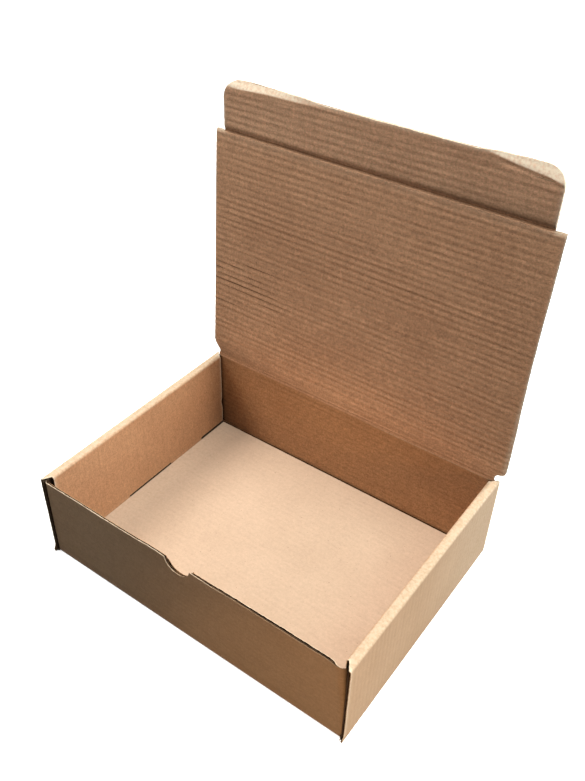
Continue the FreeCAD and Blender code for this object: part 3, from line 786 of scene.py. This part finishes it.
def flap_board(materials, core):
    """The tuck flap, with its two upper corners bent back."""
    point = leaning(FOLD, FLAP_ANGLE)
    left_round, right_round = FLAP_ROUNDS
    across = np.unique(np.concatenate([
        -FLAP_HALF + left_round * (1 - np.cos(np.linspace(0, math.pi / 2, 18))),
        spaced(-FLAP_HALF + left_round, FLAP_HALF - right_round, 2.0),
        FLAP_HALF - right_round * (1 - np.cos(np.linspace(0, math.pi / 2, 16)))]))
    left = np.clip(left_round - (across + FLAP_HALF), 0, left_round)
    right = np.clip(right_round - (FLAP_HALF - across), 0, right_round)
    top = FLAP_HEIGHT + 0.3 - (left_round - np.sqrt(left_round ** 2 - left ** 2))
    top -= right_round - np.sqrt(right_round ** 2 - right ** 2)
    top -= 1.5 * ease(across, -78, -45) * ease(-across, -105, -85)
    top += 0.9 * ease(-across, 80, 130) + 0.8 * ease(across, 92, 140)
    bend = np.interp(across, (-157, -140, -112, -75, -47, 20, 60, 85, 95, 105, 119, 133, 143, 157),
                     (39.8, 39.3, 41.2, 41.7, 43.7, 45.3, 46.6, 46.9, 45.2, 43.2, 40.7, 39.0, 38.0, 34.6))
    degrees = np.interp(across, (-157, -100, -72, -30, 60, 92, 157), (27, 27, 14, 5, 5, 22, 24))
    angle = np.radians(degrees)
    share = np.concatenate([np.linspace(0, 0.72, 32), np.linspace(0.72, 1, 28)[1:]])
    grids, tops, places = [], [], []
    for number, room in enumerate((CORNER_ROOM / CORNER_FALL, 1)):
        edge = top + 0.2 * wander(across, 1.5, 170 + number) + 0.18 * wander(across, 14, 172)
        tops.append(edge)
        h = FOLD_HALF + (edge - FOLD_HALF) * share[:, None]
        x = np.broadcast_to(across, h.shape).copy()
        x += 0.14 * wander(h, 1.6, 174 + number) * (np.abs(across) > FLAP_HALF - 0.01)
        places.append((x, h))
        beyond = h - bend - 0.25
        beyond = np.where(beyond > -1.5, (beyond + np.sqrt(beyond ** 2 + 0.3)) / 2, 0)
        fall = np.minimum(beyond * np.sin(angle), CORNER_FALL) * room
        grids.append(point(x, h - beyond * (1 - np.cos(angle)), (number - 0.5) * BOARD - fall))
    outside, inside = grids
    x, h = places[1]
    from_fold, from_top = h - FOLD_HALF, tops[1] - h
    dips = washboards(x, h, 181, FLAP_DEPTHS)
    dips[1] += 0.3 * blotch(x, h, 80, 40, 190) * ease(h, 4, 15) + fold_valley(h, FLAP_REACH)
    dips[1] += 0.28 * np.exp(-((h - bend + 2.2) / 2.0) ** 2) * ease(x, 90, 112)
    edge = np.minimum(from_top, FLAP_HALF - np.abs(x))
    # Paler at the cut edges; painted highlight: the bent-back corners pale, as they face up to the light
    bent = ease(h - bend, -0.3, 0.8) * ease(degrees + 0 * h, 7, 20)
    worn = np.clip(np.exp(-np.clip(edge, 0, 99) / 1.1) + bent * (1.0 - 0.1 * ease(x, 0, 60)), 0, 1)
    # Painted shade: darker just above the fold, broadly so on the right
    painted_shade = 0.1 * np.exp(-from_fold / 3) + 0.36 * ease(x, -60, 130) * np.exp(-(from_fold / 9) ** 2)
    squeezed = 0.15 * (1 - ease(from_top, 0.2, 1.8))
    outside += (inside - outside) * squeezed[..., None]
    sheets = Sheets()
    board_pair(sheets, outside, inside, x, h, dips, (worn, worn), (0, painted_shade), swell=4.0)
    core.lay(outside, inside, FOLD_HALF, FLAP_HEIGHT + 2, np.concatenate([
        spaced(-FLAP_HALF + 0.3, -80, 4), spaced(-60, 90, 30), spaced(98, FLAP_HALF - 0.3, 4)]),
        cell_finder(share, across, np.full(len(across), FOLD_HALF), np.minimum(*tops) - 0.2), phase=0.6)
    return sheets.make("flap_board", materials)


def crease(name, outside_line, inside_line, half, sinks, shades, wear, materials, seed):
    """A pressed fold line: the inside face's depth and shade at five places across the line."""
    stations = np.linspace(0, 1, 13)
    places = (0, 0.12, 0.5, 0.75, 1)
    across = spaced(-half, half, 2.5)
    towards = np.array(outside_line[0]) - np.array(inside_line[0])
    towards /= np.linalg.norm(towards)
    grids = []
    for (start, stop), sunk in ((outside_line, (0.0, 0.0, -0.15, 0.0, 0.0)), (inside_line, sinks)):
        start, stop = np.array(start), np.array(stop)
        line = start + (stop - start) * stations[:, None]
        line = line + np.interp(stations, places, sunk)[:, None] * towards
        grids.append(np.stack(np.broadcast_arrays(across, line[:, :1], line[:, 1:]), -1))
    stations = stations[:, None]
    dips = [0.03 * blotch(across, 7 * stations, 6, 2, seed)] * 2
    wear = wear * np.exp(-((stations - 0.5) / 0.2) ** 2)
    shade = np.interp(stations, places, shades)
    sheets = Sheets()
    board_pair(sheets, *grids, across, stations * 4, dips, (wear, wear), (0, shade))
    return sheets.make(name, materials)


# Finishes

def shown(red, green, blue):
    """A colour given as it looks on a screen, turned to the shader's own scale."""
    def linear(value):
        value /= 255.0
        return value / 12.92 if value <= 0.04045 else ((value + 0.055) / 1.055) ** 2.4
    return (linear(red), linear(green), linear(blue), 1.0)


class Finish(Graph):
    """A material with short ways to shade it."""

    def __init__(self, name):
        self.material = bpy.data.materials.new(name)
        self.material.use_nodes = True
        super().__init__(self.material.node_tree)
        self.shader = self.tree.nodes["Principled BSDF"]

    def band(self, value, low, high, to_low=0.0, to_high=1.0):
        made = self.node("ShaderNodeMapRange", {"Value": value, "From Min": low, "From Max": high,
                                                "To Min": to_low, "To Max": to_high})
        return made.outputs["Result"]

    def mix(self, share, first, second, blend="MIX"):
        made = self.node("ShaderNodeMix", data_type="RGBA", blend_type=blend)
        for place, value in ((0, share), (6, first), (7, second)):
            self.feed(value, made.inputs[place])
        return made.outputs[2]

    def grey(self, value):
        return self.node("ShaderNodeCombineColor", {0: value, 1: value, 2: value}).outputs[0]

    def noise(self, where, scale, detail=3.0, stretch=None, rough=0.55):
        if stretch is not None:
            where = self.node("ShaderNodeMapping", {"Vector": where, "Scale": stretch}).outputs[0]
        made = self.node("ShaderNodeTexNoise", {"Vector": where, "Scale": scale, "Detail": detail,
                                                "Roughness": rough})
        return made.outputs["Fac"]


def kraft(name, light, dark_tone_and_painted_shade, pale, lines, specks, grain):
    """Brown paper: cloudy tone, fibres along the sheet, flute lines, flecks, scuffed edges with painted
    light, and painted shade.
    """
    finish = Finish(name)
    blank = finish.node("ShaderNodeUVMap", uv_map="blank").outputs[0]
    place = finish.node("ShaderNodeTexCoord").outputs["Object"]
    cloud = finish.noise(place, 14.0, 3.0)
    mottle = finish.noise(place, 160.0, 4.0, rough=0.6)
    fibre = finish.noise(blank, 900.0, 3.0, (0.22, 1.0, 1.0), 0.65)
    pulp = finish.noise(place, 2300.0, 2.0)
    colour = finish.mix(finish.band(cloud, 0.35, 0.65), dark_tone_and_painted_shade, light)
    tone = finish.maths("ADD", finish.band(mottle, 0.3, 0.7, -0.05 * grain, 0.05 * grain),
                        finish.band(fibre, 0.3, 0.7, -0.05 * grain, 0.05 * grain))
    tone = finish.maths("ADD", tone, finish.band(pulp, 0.25, 0.75, -0.045 * grain, 0.045 * grain))
    along = finish.node("ShaderNodeSeparateXYZ", {0: blank}).outputs["Y"]
    patchy = finish.noise(blank, 26.0, 3.0, (0.4, 3.0, 1.0))
    drift = finish.band(finish.noise(blank, 9.0, 2.0, (0.6, 1.5, 1.0)), 0.0, 1.0, -0.7, 0.7)
    turn = finish.maths("ADD", finish.maths("MULTIPLY", along, 2 * math.pi / (PITCH * MM)), drift)
    wave = finish.maths("MULTIPLY", finish.maths("COSINE", turn),
                        finish.band(patchy, 0.35, 0.7, 0.0, lines))
    tone = finish.maths("ADD", finish.maths("ADD", tone, wave), 1.0)
    colour = finish.mix(1.0, colour, finish.grey(tone), "MULTIPLY")
    grit = finish.noise(place, 500.0, 3.0, rough=0.75)
    speckle = finish.grey(finish.band(grit, 0.3, 0.7, 1 - 0.12 * grain, 1 + 0.12 * grain))
    colour = finish.mix(1.0, colour, speckle, "MULTIPLY")
    fleck = finish.band(finish.noise(place, 620.0, 2.0, rough=0.4), 0.735, 0.78)
    colour = finish.mix(finish.maths("MULTIPLY", fleck, specks), colour, shown(82, 58, 38))
    bright = finish.band(finish.noise(blank, 760.0, 2.0, (0.35, 1.0, 1.0)), 0.72, 0.80)
    colour = finish.mix(finish.maths("MULTIPLY", bright, 0.35), colour, pale)
    # The first mark pales the paper: scuffed edges, and painted light
    pale_from_wear_and_light = finish.node("ShaderNodeAttribute", attribute_name="worn").outputs["Fac"]
    ragged = finish.band(finish.noise(place, 420.0, 3.0), 0.35, 0.6, 0.45, 1.0)
    colour = finish.mix(finish.maths("MULTIPLY", pale_from_wear_and_light, ragged, True), colour, pale)
    # Painted shade: the second mark darkens the paper nearly to black and takes away its sheen
    shaded = finish.node("ShaderNodeAttribute", attribute_name="dark_tone_and_painted_shade").outputs["Fac"]
    colour = finish.mix(shaded, colour, shown(20, 12, 8))
    finish.feed(colour, finish.shader.inputs["Base Color"])
    finish.feed(finish.band(fibre, 0.3, 0.7, 0.72, 0.88), finish.shader.inputs["Roughness"])
    finish.feed(finish.band(shaded, 0.0, 1.0, 0.28, 0.0), finish.shader.inputs["Specular IOR Level"])
    height = finish.maths("ADD", finish.maths("MULTIPLY", fibre, 0.6), finish.maths("MULTIPLY", pulp, 0.4))
    bump = finish.node("ShaderNodeBump", {"Height": height, "Strength": 0.35, "Distance": 0.0002})
    finish.feed(bump.outputs[0], finish.shader.inputs["Normal"])
    return finish.material


def raw_paper(name, light, dark_tone_and_painted_shade, gloss=0.2):
    """The unpressed paper of the flutes."""
    finish = Finish(name)
    place = finish.node("ShaderNodeTexCoord").outputs["Object"]
    cloud = finish.noise(place, 300.0, 4.0, rough=0.6)
    pulp = finish.noise(place, 1800.0, 2.0)
    colour = finish.mix(finish.band(cloud, 0.3, 0.7), dark_tone_and_painted_shade, light)
    colour = finish.mix(finish.band(pulp, 0.45, 0.8, 0.0, 0.4), colour, dark_tone_and_painted_shade)
    finish.feed(colour, finish.shader.inputs["Base Color"])
    finish.feed(finish.band(pulp, 0.3, 0.7, 0.8, 0.95), finish.shader.inputs["Roughness"])
    finish.shader.inputs["Specular IOR Level"].default_value = gloss
    bump = finish.node("ShaderNodeBump", {"Height": pulp, "Strength": 0.4, "Distance": 0.0002})
    finish.feed(bump.outputs[0], finish.shader.inputs["Normal"])
    return finish.material


def seen_directly(graph):
    """1 for what the camera sees, also in a gloss or through a clear thing, else 0."""
    rays = graph.node("ShaderNodeLightPath").outputs
    direct = graph.maths("MAXIMUM", rays["Is Camera Ray"], rays["Is Glossy Ray"])
    return graph.maths("MAXIMUM", direct, rays["Is Transmission Ray"])


def white_ground():
    """Pale ground that looks white where no shadow falls and throws little light back."""
    finish = Finish("studio_ground")
    finish.tree.nodes.remove(finish.shader)
    place = finish.node("ShaderNodeTexCoord").outputs["Object"]
    tone = finish.band(finish.noise(place, 3.0, 2.0), 0.3, 0.7, 0.90, 0.92)
    seen = finish.node("ShaderNodeBsdfDiffuse", {"Color": finish.grey(tone)})
    glow = finish.node("ShaderNodeEmission", {"Strength": 0.66})
    white = finish.node("ShaderNodeAddShader", {0: seen.outputs[0], 1: glow.outputs[0]})
    dull = finish.node("ShaderNodeBsdfDiffuse", {"Color": shown(48, 45, 42)})
    both = finish.node("ShaderNodeMixShader", {0: seen_directly(finish), 1: dull.outputs[0],
                                               2: white.outputs[0]})
    finish.feed(both.outputs[0], finish.tree.nodes["Material Output"].inputs["Surface"])
    return finish.material


def place_lamp(light, place, aim):
    obj = bpy.data.objects.new(light.name, light)
    bpy.context.scene.collection.objects.link(obj)
    obj.location = place
    obj.rotation_euler = (Vector(aim) - Vector(place)).to_track_quat("-Z", "Y").to_euler()


def studio():
    """White surroundings, soft lamps above, left and right, and a warm one beside the front."""
    scene = bpy.context.scene
    scene.view_settings.view_transform = "Standard"
    world = bpy.data.worlds.new("studio_world")
    scene.world = world
    world.use_nodes = True
    graph, nodes = Graph(world.node_tree), world.node_tree.nodes
    graph.feed((1.0, 1.0, 1.0, 1.0), nodes["Background"].inputs["Color"])
    room = graph.node("ShaderNodeBackground", {"Color": shown(255, 214, 190), "Strength": 0.02})
    choice = graph.node("ShaderNodeMixShader", {0: seen_directly(graph), 1: room.outputs[0],
                                                2: nodes["Background"].outputs[0]})
    graph.feed(choice.outputs[0], nodes["World Output"].inputs["Surface"])

    middle, right_side = (0.0, 0.0, 0.08), (0.1, 0.0, 0.05)
    for name, place, aim, size, watts, tint in (
            ("top_lamp", (0.40, 0.02, 2.15), middle, 1.3, 32.0, (1.0, 0.96, 0.90)),
            ("left_lamp", (-1.1, -0.2, 1.7), middle, 1.0, 37.5, (1.0, 0.96, 0.88)),
            ("right_lamp", (1.7, 0.5, 0.7), right_side, 0.9, 17.0, (1.0, 0.93, 0.92)),
            ("low_right_lamp", (1.8, 0.10, 0.22), right_side, 0.5, 9.0, (0.9, 1.0, 1.0)),
            ("back_right_lamp", (1.3, 0.4, 1.75), middle, 0.8, 12.0, (0.8, 1.0, 0.95))):
        light = bpy.data.lights.new(name, "AREA")
        light.shape, light.size, light.energy, light.color = "DISK", size, watts, tint
        place_lamp(light, place, aim)
    spot = bpy.data.lights.new("front_lamp", "SPOT")
    spot.energy, spot.color = 3.8, (1.0, 0.60, 0.28)
    spot.spot_size, spot.spot_blend, spot.shadow_soft_size = math.radians(34), 0.6, 0.05
    place_lamp(spot, (0.40, -0.50, 0.16), (0.14, -0.12, 0.02))

    ground = bpy.data.meshes.new("ground")
    reach = 6.0
    ground.from_pydata([(-reach, -reach, 0), (reach, -reach, 0), (reach, reach, 0), (-reach, reach, 0)],
                       [], [(0, 1, 2, 3)])
    ground.materials.append(white_ground())
    floor = bpy.data.objects.new("ground", ground)
    scene.collection.objects.link(floor)


def camera():
    """The photograph's view: from the front right, a little above the open lid's middle."""
    turn, drop, tilt = [math.radians(angle) for angle in VIEW_ANGLES]
    ahead = Vector((-math.sin(turn) * math.cos(drop), math.cos(turn) * math.cos(drop), -math.sin(drop)))
    across = Vector((math.cos(turn), math.sin(turn), 0))
    upward = across.cross(ahead)
    right = math.cos(tilt) * across + math.sin(tilt) * upward
    upright = -math.sin(tilt) * across + math.cos(tilt) * upward
    lens = bpy.data.cameras.new("camera")
    lens.sensor_width = 36.0
    lens.lens, lens.shift_x, lens.shift_y = VIEW_LENS
    lens.clip_start, lens.clip_end = 0.05, 50.0
    obj = bpy.data.objects.new("camera", lens)
    bpy.context.scene.collection.objects.link(obj)
    frame_of_view = Matrix((right, upright, -ahead)).transposed().to_4x4()
    frame_of_view.translation = Vector(VIEW_PLACE) * MM
    obj.matrix_world = frame_of_view
    bpy.context.scene.camera = obj


# The whole box

def joined(pieces, body):
    for piece in pieces:
        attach(piece, body)


def build():
    """The tray, the lid and the tuck flap, and the two creases that join them."""
    # The flap's pale colour, for its fibres and cut edges, also paints the highlight on its bent-back corners
    pale, flap_pale_for_wear_and_highlight = shown(226, 208, 184), shown(240, 226, 205)
    # Every piece is cut from one blank, so these tints differ from piece to piece as painted light and shade:
    # darker inside the end walls, paler inside the base, the lid and the flap
    outside, inside, base_face, lid_face, end_face, side_face, rolled_face, flap_face = [
        kraft("kraft_" + name, shown(*light), shown(*dark_tone_and_painted_shade), pale_from_wear_and_light, lines, specks, grain)
        for name, light, dark_tone_and_painted_shade, pale_from_wear_and_light, lines, specks, grain in (
            ("outside", (178, 148, 118), (171, 141, 111), pale, 0.035, 0.4, 1.0),
            ("inside", (188, 141, 101), (180, 133, 94), pale, 0.04, 0.6, 1.0),
            ("base_inside", (195, 170, 148), (190, 165, 143), pale, 0.03, 0.6, 0.6),
            ("lid_inside", (205, 161, 128), (195, 151, 119), pale, 0.10, 0.7, 2.3),
            ("end_inside", (176, 134, 98), (168, 126, 91), pale, 0.10, 0.6, 2.2),
            ("side_outside", (181, 152, 123), (174, 145, 116), pale, 0.035, 0.4, 0.6),
            ("side_inside", (185, 142, 106), (177, 134, 99), pale, 0.04, 0.6, 1.9),
            ("flap_inside", (225, 182, 149), (215, 171, 139), flap_pale_for_wear_and_highlight, 0.08, 0.7, 2.0))]
    # Painted shade: the tray's and lid's flute paper is darkened, and the end walls' paper between their
    # liners is near black, as the board's inside lies in shade
    flute_paper = raw_paper("flute_paper", shown(100, 74, 50), shown(60, 42, 28))
    shaded_paper = raw_paper("shaded_flute_paper", shown(26, 16, 10), shown(12, 8, 5), 0.0)
    pale_paper = raw_paper("flap_flute_paper", shown(206, 180, 150), shown(150, 120, 92))
    side_liners, lid_liners = [side_face, inside, flute_paper, rolled_face], [outside, lid_face, flute_paper]
    end_liners = [outside, end_face, shaded_paper]

    def front_bends(part):
        return 1.7 + 1.6 * part, 1.7 + 9.5 * part ** 1.4

    def back_bends(part):
        return (2.4 + 0.8 * part,) * 2

    tray_core, lid_core, flap_core = Core(flute_paper), Core(flute_paper), Core(pale_paper)
    front_wall = end_wall(-1, front_top, WALL_HALF + 3, front_bends, end_liners, tray_core, "front_wall",
                          200, crushed=0.55, open_top=1.9)
    back_wall = end_wall(1, back_top, WALL_HALF - 0.6, back_bends, end_liners, tray_core, "back_wall", 230)
    tray = [front_wall, back_wall, base_sheet([outside, base_face, flute_paper], tray_core)]
    tray += [side_wall(side, side_liners, tray_core) for side in (1, -1)]
    tray.append(tray_core.make("tray_flutes"))
    lid = [lid_board(lid_liners, lid_core), lid_core.make("lid_flutes")]
    flap = [flap_board([outside, flap_face, pale_paper], flap_core), flap_core.make("flap_flutes")]

    (lid_up, lid_in), (flap_up, flap_in) = directions(LID_ANGLE), directions(FLAP_ANGLE)
    lid_in, flap_in = lid_in * BOARD / 2, flap_in * BOARD / 2
    lid_start = HINGE[1:] + lid_up * FOLD_HALF
    lid_end, flap_start = FOLD[1:] - lid_up * FOLD_HALF, FOLD[1:] + flap_up * FOLD_HALF
    lid_crease = crease("lid_crease", ((BACK, BACK_TOP), lid_start - lid_in),
                        ((BACK - BOARD, BACK_TOP), lid_start + lid_in), CREASE_HALF,
                        (0.0, 0.02, 0.12, 0.02, 0.0), (0.1, 0.1, 0.15, 0.15, 0.12), 0.05, lid_liners, 301)
    lid_sink, flap_sink = fold_valley(FOLD_HALF, LID_REACH), fold_valley(FOLD_HALF, FLAP_REACH)
    flap_crease = crease("flap_crease", (lid_end - lid_in, flap_start - flap_in),
                         (lid_end + lid_in, flap_start + flap_in), FLAP_HALF,
                         (lid_sink, 0.7, 1.15, 1.0, flap_sink), (0.3, 0.45, 0.35, 0.2, 0.1), 0.0,
                         lid_liners, 305)

    joined(tray, "box")
    joined(lid, "lid")
    joined(flap, "flap")
    for piece in tray:
        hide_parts("tray")
    for piece in lid:
        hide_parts("lid_panel")
    for piece in flap:
        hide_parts("tuck_flap")
    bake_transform(lid_crease)
    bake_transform(flap_crease)


build()
studio()
camera()
